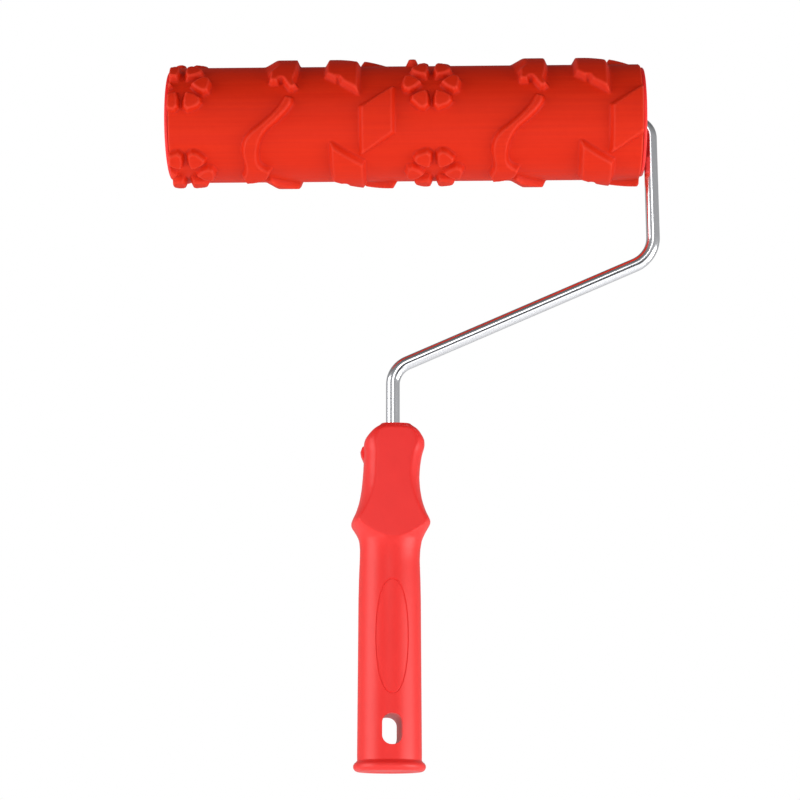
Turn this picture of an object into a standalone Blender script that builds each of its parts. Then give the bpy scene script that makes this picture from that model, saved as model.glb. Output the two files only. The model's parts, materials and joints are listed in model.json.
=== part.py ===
"""Textured pattern roller: a rubber barrel with a raised floral pattern on a bent rod with a moulded handle.

Frame: metres, +Z up. The origin is the centre of the handle's lower end. +Z runs up the handle towards the
barrel, +X runs along the barrel towards the rod's elbow, and -Y is the handle's front.
The barrel (sleeve, core tube, end caps, bushes) turns about the rod's upper run, which is parallel to X.
"""

from math import cos, pi, radians, sin, tan

import bmesh
import bpy
from mathutils import Matrix, Vector

MM = 0.001
GAP = 0.3 * MM                      # between neighbours, and between the rod and what turns on it

# Barrel
BARREL_X = 6.1 * MM                 # middle of the barrel
BARREL_Z = 245.0 * MM               # barrel's axis above the handle's lower end
BARREL_HALF = 90.4 * MM             # middle of the barrel to the outer face of a cap
SLEEVE_HALF = 88.9 * MM
SLEEVE_RADIUS = 21.9 * MM
SLEEVE_BORE = 18.2 * MM
RELIEF = 2.6 * MM                   # height of the pattern above the sleeve
DRAFT = 1.4 * MM                    # how far a motif's sloping side leans in
EMBED = 0.5 * MM                    # how deep a motif is rooted in the sleeve
SLEEVE_SEGMENTS = 40
TUBE_RADIUS = SLEEVE_BORE - GAP
TUBE_BORE = 16.4 * MM

# End caps, measured from the middle of the barrel outwards
FLANGE_RADIUS = 20.7 * MM
FLANGE_INNER_FACE = 89.2 * MM
SPIGOT_RADIUS = TUBE_BORE - GAP
SPIGOT_END = 72.0 * MM
DISH_RADIUS = 14.0 * MM             # open recess in the cap's outer face
WEB_OUTER_FACE = 78.5 * MM
WEB_THICKNESS = 2.2 * MM
HUB_RADIUS = 7.6 * MM
HUB_FACE = 80.0 * MM
HUB_LENGTH = 8.0 * MM
RIB_COUNT = 6
RIB_WIDTH = 1.4 * MM
RIB_HEIGHT = 3.6 * MM

# Rod and what sits on it
ROD_RADIUS = 2.55 * MM
ROD_SIDES = 16
BORE_RADIUS = ROD_RADIUS + GAP
LEG_X = 1.1 * MM                    # centreline of the leg that enters the handle
ELBOW_X = BARREL_X + 93.2 * MM      # centreline of the leg beside the barrel
ELBOW_BEND = 6.4 * MM               # centreline radii of the three bends
UPPER_BEND = 12.0 * MM
LOWER_BEND = 9.0 * MM
UPPER_CORNER_Z = 191.0 * MM
LOWER_CORNER_Z = 148.0 * MM
ROD_FREE_END = 84.8 * MM            # middle of the barrel to the rod's free end
ROD_FOOT_Z = 44.0 * MM              # the rod's end inside the handle
BUSH_RADIUS = 5.0 * MM
BUSH_FLANGE_RADIUS = 6.6 * MM
BUSH_FLANGE = 1.1 * MM
WASHER_RADIUS = 5.2 * MM
WASHER_THICKNESS = 0.9 * MM
COLLAR_RADIUS = 4.6 * MM
COLLAR_LENGTH = 3.2 * MM
NUT_RADIUS = 4.8 * MM
NUT_WALL = 1.0 * MM

# Handle
HANDLE_TURN = radians(6.8)          # the handle is pressed on a little round from the rod's plane
HANDLE_HEIGHT = 126.4 * MM
LIP_TOP = 4.0 * MM
LIP_RADIUS = 13.0 * MM
FACET_TOP = 7.0 * MM                # axis to the flat front and back facets, at the head's top
FACET_LEAN = tan(radians(6.2))      # the facets lean out towards the flared crest
HOLE_Z = 14.6 * MM
HOLE_WIDTH = 7.2 * MM
HOLE_HEIGHT = 10.9 * MM
HOLE_CORNER = 3.3 * MM
PANEL_Z = 47.5 * MM                 # engraved oval outline on the grip's front
PANEL_WIDTH = 11.9 * MM
PANEL_HEIGHT = 41.2 * MM
PANEL_SQUARENESS = 2.2             # 2 is an ellipse
GROOVE_WIDTH = 0.7 * MM
GROOVE_DEPTH = 0.45 * MM
NIB_Z = 116.2 * MM

# The handle's sections before the facets are cut: height, half width, half depth, squareness (2 is an ellipse)
HANDLE_SECTIONS = (
    (4.0, 11.6, 11.6, 2.0),
    (25.0, 11.5, 11.5, 2.0),
    (47.0, 11.4, 11.4, 2.0),
    (61.0, 11.35, 11.35, 2.0),
    (69.0, 11.2, 11.2, 2.0),
    (76.0, 10.95, 11.0, 2.0),
    (80.0, 11.0, 11.2, 2.1),
    (83.2, 11.4, 11.7, 2.3),
    (85.2, 12.15, 12.8, 2.5),
    (87.2, 13.2, 14.2, 2.8),
    (88.7, 14.1, 15.2, 3.0),
    (89.6, 14.4, 15.4, 3.0),
    (91.0, 13.95, 15.0, 2.9),
    (92.8, 13.05, 14.4, 2.8),
    (94.7, 12.35, 13.8, 2.7),
    (96.6, 11.75, 13.2, 2.6),
    (98.5, 11.3, 12.6, 2.5),
    (102.3, 10.7, 11.6, 2.4),
    (106.1, 10.35, 10.85, 2.4),
    (109.8, 10.2, 10.4, 2.4),
    (113.3, 10.3, 9.85, 2.5),
    (115.5, 10.65, 9.6, 2.5),
    (118.2, 11.2, 9.4, 2.6),
    (120.2, 11.1, 9.1, 2.7),
    (121.2, 10.75, 8.8, 2.8),
    (122.2, 10.1, 8.5, 3.0),
    (123.2, 9.35, 8.1, 3.3),
    (124.3, 8.35, 7.5, 4.0),
    (125.3, 7.1, 6.6, 4.0),
    (126.4, 5.3, 5.6, 4.0),
)
# How far the handle leans to +X, over the rod's leg: height, shift
HANDLE_LEAN = ((76.0, 0.0), (84.0, 0.3), (100.0, 0.35), (106.0, 0.4), (112.0, 0.8), (118.0, 1.55), (126.4, 2.0))

# Pattern. A point is (mm along the barrel from its middle, degrees round it from the front, up positive).
# The same sheet of motifs repeats along the barrel; the barrel's ends cut through it.
PATTERN_SHIFT = 0.5
REPEAT_PITCH = 93.7
REPEATS = (-1, 0, 1)
FLOWERS = ((9.3, 19.8), (10.3, -72.5), (9.5, 112.0), (10.5, 201.0))
RISING_LEAVES = ((-10.6, -16.6), (-10.6, 109.4), (-10.6, 225.0))
FALLING_LEAVES = ((-23.7, 43.4), (-21.9, -73.5), (-22.8, 164.0))
BUD = (2.1, 61.0)
BUD_RADIUS = 2.6
STEM_TURNS = (0.0, 180.0)
LEAF_WIDTH = 13.0
LEAF_SIDE = 48.0                    # degrees of a leaf's straight side
LEAF_SLANT = 22.2                   # degrees by which one side lies above the other
NICK_ALONG = -1.6                   # nick in a falling leaf's lower edge, from the leaf's middle
NICK_WIDTH = 2.0
NICK_DEPTH = 3.0
PETALS = 6
PETAL_OUTLINE = ((2.8, 0.0), (5.4, 2.75), (8.3, 4.2), (10.6, 3.4), (11.6, 1.2))
STEM_OUTLINE = (
    (-45.4, 8.5), (-42.2, 6.0), (-42.0, -0.8), (-44.4, -9.6), (-48.0, -18.0), (-52.0, -26.0),
    (-54.2, -34.0), (-55.3, -43.0), (-55.6, -51.5), (-55.2, -59.0), (-53.4, -64.0), (-50.6, -66.2),
    (-51.6, -75.0), (-52.4, -79.5), (-54.8, -84.0), (-56.8, -87.0), (-61.6, -89.5), (-62.8, -81.5),
    (-62.9, -76.0), (-61.4, -67.5), (-61.3, -58.5), (-62.0, -51.0), (-62.2, -43.5), (-61.4, -34.5),
    (-59.0, -26.3), (-54.8, -18.8), (-50.4, -9.5), (-47.5, -1.5),
)
FORK_OUTLINE = (
    (-52.0, 24.0), (-51.2, 20.5), (-47.8, 20.0), (-47.3, 26.5), (-45.6, 18.5), (-43.9, 12.5),
    (-42.2, 12.2), (-40.2, 16.5), (-41.6, 22.5), (-40.6, 36.0), (-40.2, 58.0), (-41.0, 76.0),
    (-45.5, 84.0), (-49.5, 91.0), (-52.0, 97.0), (-55.2, 90.5), (-55.0, 78.0), (-53.4, 58.0),
    (-52.4, 38.0), (-51.6, 31.0),
)


# ---------------------------------------------------------------- helpers

def clear_scene():
    for obj in list(bpy.data.objects):
        bpy.data.objects.remove(obj, do_unlink=True)


def material(name, colour, roughness, metallic=0.0):
    made = bpy.data.materials.new(name)
    made.use_nodes = True
    shader = made.node_tree.nodes["Principled BSDF"]
    shader.inputs["Base Color"].default_value = (*colour, 1.0)
    shader.inputs["Roughness"].default_value = roughness
    shader.inputs["Metallic"].default_value = metallic
    return made


def object_from(bm, name, slot, place=None, sharp=35.0):
    """Closes the bmesh into a named, smooth shaded object at place."""
    bmesh.ops.recalc_face_normals(bm, faces=bm.faces)
    mesh = bpy.data.meshes.new(name)
    bm.to_mesh(mesh)
    bm.free()
    mesh.shade_smooth()
    mesh.set_sharp_from_angle(angle=radians(sharp))
    obj = bpy.data.objects.new(name, mesh)
    bpy.context.scene.collection.objects.link(obj)
    if slot:
        mesh.materials.append(slot)
    if place:
        obj.matrix_world = place
    return obj


def as_cutter(obj):
    obj.hide_render = True
    obj.display_type = "WIRE"
    return obj


def boolean(target, operation, other):
    step = target.modifiers.new(other.name, "BOOLEAN")
    step.operation = operation
    step.object = other
    step.solver = "EXACT"


def rings_to_mesh(rings, closed_along=False):
    """Skins rings of equal length. A ring of one point is a pole. Open ends are filled."""
    bm = bmesh.new()
    rows = [[bm.verts.new(point) for point in ring] for ring in rings]
    pairs = list(zip(rows, rows[1:]))
    if closed_along:
        pairs.append((rows[-1], rows[0]))
    for row, following in pairs:
        count = max(len(row), len(following))
        for i in range(count):
            j = (i + 1) % count
            if len(row) == 1:
                bm.faces.new((row[0], following[j], following[i]))
            elif len(following) == 1:
                bm.faces.new((row[i], row[j], following[0]))
            else:
                bm.faces.new((row[i], row[j], following[j], following[i]))
    if not closed_along:
        for row in (rows[0], rows[-1]):
            if len(row) > 1:
                bm.faces.new(row)
    return bm


def turned(profile, segments, closed_along):
    """Turns a profile of (along, radius) points about X."""
    rings = []
    for along, radius in profile:
        if radius == 0.0:
            rings.append([(along, 0.0, 0.0)])
            continue
        angles = [2 * pi * i / segments for i in range(segments)]
        rings.append([(along, -radius * cos(a), radius * sin(a)) for a in angles])
    return rings_to_mesh(rings, closed_along)


def box_mesh(size, middle):
    bm = bmesh.new()
    bmesh.ops.create_cube(bm, size=1.0)
    bmesh.ops.scale(bm, vec=size, verts=bm.verts)
    bmesh.ops.translate(bm, vec=middle, verts=bm.verts)
    return bm


def prism_mesh(outline, low, high):
    """A straight prism through Y of an outline in X and Z."""
    bm = bmesh.new()
    face = bm.faces.new([bm.verts.new((x, low, z)) for x, z in outline])
    extruded = bmesh.ops.extrude_face_region(bm, geom=[face])["geom"]
    moved = [v for v in extruded if isinstance(v, bmesh.types.BMVert)]
    bmesh.ops.translate(bm, vec=(0.0, high - low, 0.0), verts=moved)
    return bm


def barrel_place(outwards=1):
    """Puts a piece drawn about X on the barrel's axis; -1 turns it round to the left end."""
    turn = Matrix.Rotation(0.0 if outwards > 0 else pi, 4, "Z")
    return Matrix.Translation((BARREL_X, 0.0, BARREL_Z)) @ turn


# ---------------------------------------------------------------- barrel

def around(degrees):
    """Degrees round the sleeve as metres along its skin."""
    return radians(degrees) * SLEEVE_RADIUS


def leaf_outline(slant, nick):
    """A leaf: a parallelogram with two sides straight round the barrel."""
    half = LEAF_WIDTH / 2
    low, high = -LEAF_SIDE / 2, LEAF_SIDE / 2
    left, right = -slant / 2, slant / 2
    outline = [(-half, high + left), (-half, low + left)]
    if nick:
        for along, depth in ((-0.5, 0.0), (0.0, NICK_DEPTH), (0.5, 0.0)):
            x = NICK_ALONG + along * NICK_WIDTH
            outline.append((x, low + slant * x / LEAF_WIDTH + depth))
    outline += [(half, low + right), (half, high + right)]
    return outline


def petal_outline(index):
    """One petal of a flower, its point towards the flower's centre, in mm along and degrees round."""
    turn = 2 * pi * index / PETALS
    half = list(PETAL_OUTLINE)
    loop = half + [(out, -side) for out, side in reversed(half[1:-1])]
    placed = []
    for out, side in loop:
        along = out * cos(turn) - side * sin(turn)
        height = out * sin(turn) + side * cos(turn)
        placed.append((along, height * MM / around(1.0)))
    return placed


def bud_outline():
    steps = [2 * pi * i / 8 for i in range(8)]
    return [(BUD_RADIUS * cos(a), BUD_RADIUS * sin(a) * MM / around(1.0)) for a in steps]


def motif_outlines():
    """Every outline that lies on the sleeve, as points (metres along from its middle, metres round)."""
    placed = []
    for along, angle in FLOWERS:
        placed += [(petal_outline(i), along, angle) for i in range(PETALS)]
    placed += [(leaf_outline(LEAF_SLANT, False), along, angle) for along, angle in RISING_LEAVES]
    placed += [(leaf_outline(-LEAF_SLANT, True), along, angle) for along, angle in FALLING_LEAVES]
    placed += [(STEM_OUTLINE, 0.0, turn) for turn in STEM_TURNS]
    placed += [(FORK_OUTLINE, 0.0, turn) for turn in STEM_TURNS]
    placed.append((bud_outline(), *BUD))
    for repeat in REPEATS:
        for outline, along, angle in placed:
            shift = along + PATTERN_SHIFT + repeat * REPEAT_PITCH
            moved = [((x + shift) * MM, around(a + angle)) for x, a in outline]
            if min(x for x, _ in moved) < SLEEVE_HALF and max(x for x, _ in moved) > -SLEEVE_HALF:
                yield moved


def add_flat_motif(bm, outline):
    """Adds one motif as a drafted block on the unrolled sleeve: X along, Y round, Z its height."""
    top = bm.faces.new([bm.verts.new((x, y, -EMBED)) for x, y in outline])
    top.normal_update()
    if top.normal.z < 0:
        top.normal_flip()
    floor = bmesh.ops.duplicate(bm, geom=[top])["geom"]
    bmesh.ops.inset_individual(bm, faces=[top], thickness=DRAFT, use_even_offset=True)
    bmesh.ops.translate(bm, vec=(0.0, 0.0, EMBED + RELIEF), verts=top.verts)
    bmesh.ops.reverse_faces(bm, faces=[f for f in floor if isinstance(f, bmesh.types.BMFace)])
    bmesh.ops.remove_doubles(bm, verts=bm.verts, dist=0.001 * MM)


def motif_block(outline):
    """One motif, sliced half way between the sleeve's facet edges and wrapped round it."""
    bm = bmesh.new()
    add_flat_motif(bm, outline)
    step = around(360.0 / SLEEVE_SEGMENTS)
    first = int(min(y for _, y in outline) // step)
    last = int(max(y for _, y in outline) // step)
    for line in range(first, last + 1):
        everything = bm.verts[:] + bm.edges[:] + bm.faces[:]
        at = (0.0, (line + 0.5) * step, 0.0)
        bmesh.ops.bisect_plane(bm, geom=everything, dist=0.001 * MM, plane_co=at, plane_no=(0.0, 1.0, 0.0))
    for vert in bm.verts:
        radius = SLEEVE_RADIUS + vert.co.z
        angle = vert.co.y / SLEEVE_RADIUS
        vert.co = Vector((vert.co.x, -radius * cos(angle), radius * sin(angle)))
    return bm


def pattern_cutter():
    """All motifs as one helper object of separate blocks that the sleeve is joined with."""
    whole = bmesh.new()
    for outline in motif_outlines():
        block = motif_block(outline)
        bmesh.ops.recalc_face_normals(block, faces=block.faces)
        part = bpy.data.meshes.new("motif")
        block.to_mesh(part)
        block.free()
        whole.from_mesh(part)
        bpy.data.meshes.remove(part)
    return as_cutter(object_from(whole, "pattern_blocks", None, barrel_place()))


def make_sleeve(slot):
    """The tube is made long, joined with the pattern and then trimmed, so motifs end flush with it."""
    long_half = SLEEVE_HALF + 2 * MM
    profile = (
        (-long_half, SLEEVE_RADIUS), (long_half, SLEEVE_RADIUS),
        (long_half, SLEEVE_BORE), (-long_half, SLEEVE_BORE)
    )
    bm = turned(profile, SLEEVE_SEGMENTS, closed_along=True)
    sleeve = object_from(bm, "rubber_sleeve", slot, barrel_place())
    boolean(sleeve, "UNION", pattern_cutter())
    outside = 4 * SLEEVE_RADIUS
    trim = box_mesh((2 * SLEEVE_HALF, outside, outside), (0.0, 0.0, 0.0))
    boolean(sleeve, "INTERSECT", as_cutter(object_from(trim, "sleeve_trim", None, barrel_place())))
    return sleeve


def make_core_tube(slot):
    profile = (
        (-SLEEVE_HALF, TUBE_RADIUS), (SLEEVE_HALF, TUBE_RADIUS),
        (SLEEVE_HALF, TUBE_BORE), (-SLEEVE_HALF, TUBE_BORE)
    )
    return object_from(turned(profile, 40, closed_along=True), "core_tube", slot, barrel_place())


def make_end_cap(side, outwards, slot):
    """Flange, spigot, web and hub in one moulding, with radial ribs in its open dish."""
    web_inner = WEB_OUTER_FACE - WEB_THICKNESS
    hub_inner = HUB_FACE - HUB_LENGTH
    hub_bore = BUSH_RADIUS + GAP
    profile = (
        (hub_inner, hub_bore),
        (hub_inner, HUB_RADIUS),
        (web_inner, HUB_RADIUS),
        (web_inner, DISH_RADIUS),
        (SPIGOT_END, DISH_RADIUS),
        (SPIGOT_END, SPIGOT_RADIUS - 0.6 * MM),
        (SPIGOT_END + 1.0 * MM, SPIGOT_RADIUS),
        (FLANGE_INNER_FACE, SPIGOT_RADIUS),
        (FLANGE_INNER_FACE, FLANGE_RADIUS),
        (BARREL_HALF - 0.7 * MM, FLANGE_RADIUS),
        (BARREL_HALF, FLANGE_RADIUS - 0.7 * MM),
        (BARREL_HALF, DISH_RADIUS + 0.8 * MM),
        (BARREL_HALF - 0.8 * MM, DISH_RADIUS),
        (WEB_OUTER_FACE, DISH_RADIUS),
        (WEB_OUTER_FACE, HUB_RADIUS),
        (HUB_FACE, HUB_RADIUS),
        (HUB_FACE, hub_bore),
    )
    name = "end_cap_" + side
    cap = object_from(turned(profile, 30, closed_along=True), name, slot, barrel_place(outwards))
    ribs = bmesh.new()
    inner = HUB_RADIUS - 0.5 * MM
    outer = DISH_RADIUS + 0.8 * MM
    for i in range(RIB_COUNT):
        middle = (WEB_OUTER_FACE + RIB_HEIGHT / 2 - 0.5 * MM, 0.0, (inner + outer) / 2)
        rib = box_mesh((RIB_HEIGHT + 1.0 * MM, RIB_WIDTH, outer - inner), middle)
        bmesh.ops.rotate(rib, matrix=Matrix.Rotation(2 * pi * (i + 0.25) / RIB_COUNT, 3, "X"), verts=rib.verts)
        part = bpy.data.meshes.new("rib")
        rib.to_mesh(part)
        rib.free()
        ribs.from_mesh(part)
        bpy.data.meshes.remove(part)
    boolean(cap, "UNION", as_cutter(object_from(ribs, name + "_ribs", None, barrel_place(outwards))))
    return cap


def make_bush(side, outwards, slot):
    flange_inner = HUB_FACE + GAP
    profile = (
        (HUB_FACE - HUB_LENGTH, BORE_RADIUS),
        (HUB_FACE - HUB_LENGTH, BUSH_RADIUS),
        (flange_inner, BUSH_RADIUS),
        (flange_inner, BUSH_FLANGE_RADIUS),
        (flange_inner + BUSH_FLANGE, BUSH_FLANGE_RADIUS),
        (flange_inner + BUSH_FLANGE, BORE_RADIUS),
    )
    return object_from(turned(profile, 28, closed_along=True), "bush_" + side, slot, barrel_place(outwards))


# ---------------------------------------------------------------- rod and what sits on it

def washer_start():
    return HUB_FACE + GAP + BUSH_FLANGE + GAP


def ring_profile(start, length, radius, chamfer):
    end = start + length
    return (
        (start, BORE_RADIUS), (start, radius - chamfer), (start + chamfer, radius),
        (end - chamfer, radius), (end, radius - chamfer), (end, BORE_RADIUS)
    )


def make_washer(side, outwards, slot):
    profile = ring_profile(washer_start(), WASHER_THICKNESS, WASHER_RADIUS, 0.15 * MM)
    ring = turned(profile, 28, closed_along=True)
    return object_from(ring, "thrust_washer_" + side, slot, barrel_place(outwards))


def make_stop_collar(slot):
    start = washer_start() + WASHER_THICKNESS + GAP
    profile = ring_profile(start, COLLAR_LENGTH, COLLAR_RADIUS, 0.4 * MM)
    return object_from(turned(profile, 28, closed_along=True), "stop_collar", slot, barrel_place())


def make_push_nut(slot):
    """A cap over the rod's free end: a cup with a domed closed end."""
    start = washer_start() + WASHER_THICKNESS + GAP
    floor = ROD_FREE_END + GAP
    crown = floor + NUT_WALL
    profile = (
        (floor, 0.0),
        (floor, BORE_RADIUS),
        (start, BORE_RADIUS),
        (start, NUT_RADIUS),
        (start + 0.8 * MM, NUT_RADIUS),
        (start + 1.1 * MM, NUT_RADIUS - NUT_WALL),
        (floor + 0.2 * MM, NUT_RADIUS - NUT_WALL),
        (crown - 0.2 * MM, 0.55 * NUT_RADIUS),
        (crown, 0.0),
    )
    return object_from(turned(profile, 28, closed_along=False), "push_nut", slot, barrel_place(-1))


def rounded_path(corners, bends, steps):
    """A path in X and Z with its inner corners rounded to the bend radii."""
    path = [Vector(corners[0])]
    for before, corner, after, bend in zip(corners, corners[1:], corners[2:], bends):
        corner = Vector(corner)
        arriving = (corner - Vector(before)).normalized()
        leaving = (Vector(after) - corner).normalized()
        turn = arriving.angle(leaving)
        start = corner - arriving * bend * tan(turn / 2)
        centre = start + (leaving - arriving * arriving.dot(leaving)).normalized() * bend
        spoke = start - centre
        for i in range(steps + 1):
            part = turn * i / steps
            path.append(centre + spoke * cos(part) + arriving * bend * sin(part))
    path.append(Vector(corners[-1]))
    return path


def make_rod(slot):
    corners = (
        (BARREL_X - ROD_FREE_END, BARREL_Z),
        (ELBOW_X, BARREL_Z),
        (ELBOW_X, UPPER_CORNER_Z),
        (LEG_X, LOWER_CORNER_Z),
        (LEG_X, ROD_FOOT_Z),
    )
    path = rounded_path(corners, (ELBOW_BEND, UPPER_BEND, LOWER_BEND), 7)
    chamfer = 0.6 * MM
    first_step = (path[1] - path[0]).normalized() * chamfer
    last_step = (path[-1] - path[-2]).normalized() * chamfer
    stations = [(path[0], ROD_RADIUS - chamfer), (path[0] + first_step, ROD_RADIUS)]
    stations += [(point, ROD_RADIUS) for point in path[1:-1]]
    stations += [(path[-1] - last_step, ROD_RADIUS), (path[-1], ROD_RADIUS - chamfer)]
    rings = []
    for i, (point, radius) in enumerate(stations):
        before = stations[max(i - 1, 0)][0]
        after = stations[min(i + 1, len(stations) - 1)][0]
        heading = (after - before).normalized()
        outwards = Vector((-heading.y, heading.x))
        ring = []
        for k in range(ROD_SIDES):
            angle = 2 * pi * (k + 0.5) / ROD_SIDES
            flat = point + outwards * radius * cos(angle)
            ring.append((flat.x, radius * sin(angle), flat.y))
        rings.append(ring)
    return object_from(rings_to_mesh(rings), "frame_rod", slot, sharp=50.0)


# ---------------------------------------------------------------- handle

def section_at(height):
    """Half width, half depth and squareness of the plain section at a height, between the stations."""
    level = min(max(height / MM, HANDLE_SECTIONS[0][0]), HANDLE_SECTIONS[-1][0])
    for low, high in zip(HANDLE_SECTIONS, HANDLE_SECTIONS[1:]):
        if level <= high[0]:
            share = (level - low[0]) / (high[0] - low[0])
            return [(a + (b - a) * share) for a, b in zip(low[1:], high[1:])]
    return list(HANDLE_SECTIONS[-1][1:])


def handle_radius(height, angle):
    """The handle's surface from its axis: the section, cut by the leaning front and back facets."""
    half_width, half_depth, square = section_at(height)
    side, front = abs(sin(angle)), abs(cos(angle))
    across = (side / (half_width * MM)) ** square + (front / (half_depth * MM)) ** square
    facet = FACET_TOP + (HANDLE_HEIGHT - height) * FACET_LEAN
    return min(across ** (-1.0 / square), facet / max(front, 0.01))


def head_shift(height):
    level = height / MM
    for (low, start), (high, end) in zip(HANDLE_LEAN, HANDLE_LEAN[1:]):
        if low <= level <= high:
            return (start + (end - start) * (level - low) / (high - low)) * MM
    return 0.0 if level < HANDLE_LEAN[0][0] else HANDLE_LEAN[-1][1] * MM


def handle_levels():
    grip = [4.6, 12.0, 25.0, 36.0, 47.0, 61.0, 69.0]
    return [level * MM for level in grip + [station[0] for station in HANDLE_SECTIONS[5:]]]


def lip_rings():
    """(height, radius) of the rounded lip, from the flat end up to the crease under the grip."""
    rings = []
    for degrees in (-90.0, -50.0, -20.0, 10.0, 35.0, 60.0):
        angle = radians(degrees)
        rings.append((0.45 * LIP_TOP * (1 + sin(angle)), LIP_RADIUS - 1.9 * MM * (1 - cos(angle))))
    rings.append((LIP_TOP, 11.5 * MM))
    return rings


def slot_outline(width, height, corner, middle):
    """A rounded rectangle in X and Z."""
    outline = []
    for quarter in range(4):
        for step in range(5):
            angle = pi / 2 * (quarter + step / 4)
            x = (width / 2 - corner) * (1 if quarter in (0, 3) else -1)
            z = (height / 2 - corner) * (1 if quarter in (0, 1) else -1)
            outline.append((x + corner * cos(angle), middle + z + corner * sin(angle)))
    return outline


def oval_outline(width, height, middle):
    """A slightly squared ellipse."""
    outline = []
    for step in range(36):
        angle = 2 * pi * step / 36
        across = abs(cos(angle)) ** (2 / PANEL_SQUARENESS)
        along = abs(sin(angle)) ** (2 / PANEL_SQUARENESS)
        x = width / 2 * (across if cos(angle) > 0 else -across)
        outline.append((x, middle + height / 2 * (along if sin(angle) > 0 else -along)))
    return outline


def panel_groove_cutter(place):
    """A thin oval ring that reaches a little under the grip's skin."""
    outer = prism_mesh(oval_outline(PANEL_WIDTH, PANEL_HEIGHT, PANEL_Z), -14 * MM, -7 * MM)
    ring = as_cutter(object_from(outer, "panel_ring", None, place))
    island = oval_outline(PANEL_WIDTH - 2 * GROOVE_WIDTH, PANEL_HEIGHT - 2 * GROOVE_WIDTH, PANEL_Z)
    inner = prism_mesh(island, -15 * MM, -6 * MM)
    boolean(ring, "DIFFERENCE", as_cutter(object_from(inner, "panel_island", None, place)))
    depth = 11.4 * MM - GROOVE_DEPTH
    profile = [(0.0, 0.0), (0.0, depth), (HANDLE_HEIGHT, depth), (HANDLE_HEIGHT, 0.0)]
    core = turned(profile, 60, closed_along=False)
    bmesh.ops.rotate(core, matrix=Matrix.Rotation(-pi / 2, 3, "Y"), verts=core.verts)
    boolean(ring, "DIFFERENCE", as_cutter(object_from(core, "panel_core", None, place)))
    return ring


def nib_block(place):
    """A small wedge on the -X side of the head's rear edge."""
    outline = ((6.0, -4.6), (10.2, -4.6), (11.6, -1.4), (11.9, 0.4), (11.4, 1.8), (10.2, 2.4), (6.0, 2.4))
    points = [(head_shift(NIB_Z) - x * MM, NIB_Z + z * MM) for x, z in outline]
    return as_cutter(object_from(prism_mesh(points, 2.6 * MM, 6.0 * MM), "nib", None, place))


def make_handle(slot):
    segments = 36
    place = Matrix.Rotation(HANDLE_TURN, 4, "Z")
    angles = [2 * pi * (i + 0.5) / segments for i in range(segments)]
    rings = [[(radius * sin(a), -radius * cos(a), height) for a in angles] for height, radius in lip_rings()]
    for height in handle_levels():
        shift = head_shift(height)
        ring = []
        for a in angles:
            radius = handle_radius(height, a)
            ring.append((shift + radius * sin(a), -radius * cos(a), height))
        rings.append(ring)
    handle = object_from(rings_to_mesh(rings), "handle", slot, place, sharp=30.0)
    boolean(handle, "UNION", nib_block(place))
    hole = prism_mesh(slot_outline(HOLE_WIDTH, HOLE_HEIGHT, HOLE_CORNER, HOLE_Z), -20 * MM, 20 * MM)
    boolean(handle, "DIFFERENCE", as_cutter(object_from(hole, "hang_hole", None, place)))
    boolean(handle, "DIFFERENCE", panel_groove_cutter(place))
    foot = ROD_FOOT_Z - GAP
    bore = turned([(foot, 0.0), (foot, BORE_RADIUS), (140 * MM, BORE_RADIUS), (140 * MM, 0.0)], 24, False)
    bmesh.ops.rotate(bore, matrix=Matrix.Rotation(-pi / 2, 3, "Y"), verts=bore.verts)
    at_leg = Matrix.Translation((LEG_X, 0.0, 0.0))
    boolean(handle, "DIFFERENCE", as_cutter(object_from(bore, "rod_bore", None, at_leg)))
    return handle


# ---------------------------------------------------------------- assembly

def build():
    clear_scene()
    rubber = material("red_rubber", (0.78, 0.035, 0.014), 0.45)
    red_plastic = material("red_plastic", (0.85, 0.045, 0.038), 0.38)
    chrome = material("chrome", (0.86, 0.86, 0.88), 0.08, 1.0)
    steel = material("zinc_steel", (0.62, 0.63, 0.65), 0.3, 1.0)
    tube_plastic = material("core_plastic", (0.75, 0.74, 0.71), 0.5)
    nylon = material("bush_nylon", (0.86, 0.85, 0.80), 0.42)
    make_sleeve(rubber)
    make_core_tube(tube_plastic)
    for side, outwards in (("left", -1), ("right", 1)):
        make_end_cap(side, outwards, red_plastic)
        make_bush(side, outwards, nylon)
        make_washer(side, outwards, steel)
    make_stop_collar(steel)
    make_push_nut(steel)
    make_rod(chrome)
    make_handle(red_plastic)
    bpy.context.view_layer.update()


build()
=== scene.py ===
"""Textured pattern roller: detailed pieces, materials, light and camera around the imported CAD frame.

Metres, in the CAD's frame: the origin is the centre of the handle's lower end, +Z runs up the handle, +X
along the barrel towards the rod's elbow, and -Y out of the handle's front. The barrel's pieces are drawn
about X with x = 0 in the middle of the barrel, and then put on its axis.
"""

import json
from math import cos, pi, radians, sin, sqrt, tan

import bmesh
import bpy
import numpy as np
from mathutils import Matrix, Vector


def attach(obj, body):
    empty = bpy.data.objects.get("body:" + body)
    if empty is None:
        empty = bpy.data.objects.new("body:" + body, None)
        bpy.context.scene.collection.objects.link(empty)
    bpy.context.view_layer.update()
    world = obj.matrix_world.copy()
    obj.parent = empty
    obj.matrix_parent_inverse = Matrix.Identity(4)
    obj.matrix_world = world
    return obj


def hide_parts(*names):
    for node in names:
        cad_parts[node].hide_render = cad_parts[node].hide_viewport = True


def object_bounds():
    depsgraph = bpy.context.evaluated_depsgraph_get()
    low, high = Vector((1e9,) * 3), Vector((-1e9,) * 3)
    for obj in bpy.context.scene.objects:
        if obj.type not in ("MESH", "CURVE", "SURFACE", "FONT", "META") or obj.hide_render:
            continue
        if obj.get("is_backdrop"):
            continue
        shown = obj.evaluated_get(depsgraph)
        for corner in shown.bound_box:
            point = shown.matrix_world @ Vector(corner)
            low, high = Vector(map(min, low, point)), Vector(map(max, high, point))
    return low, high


MM = 0.001

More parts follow.
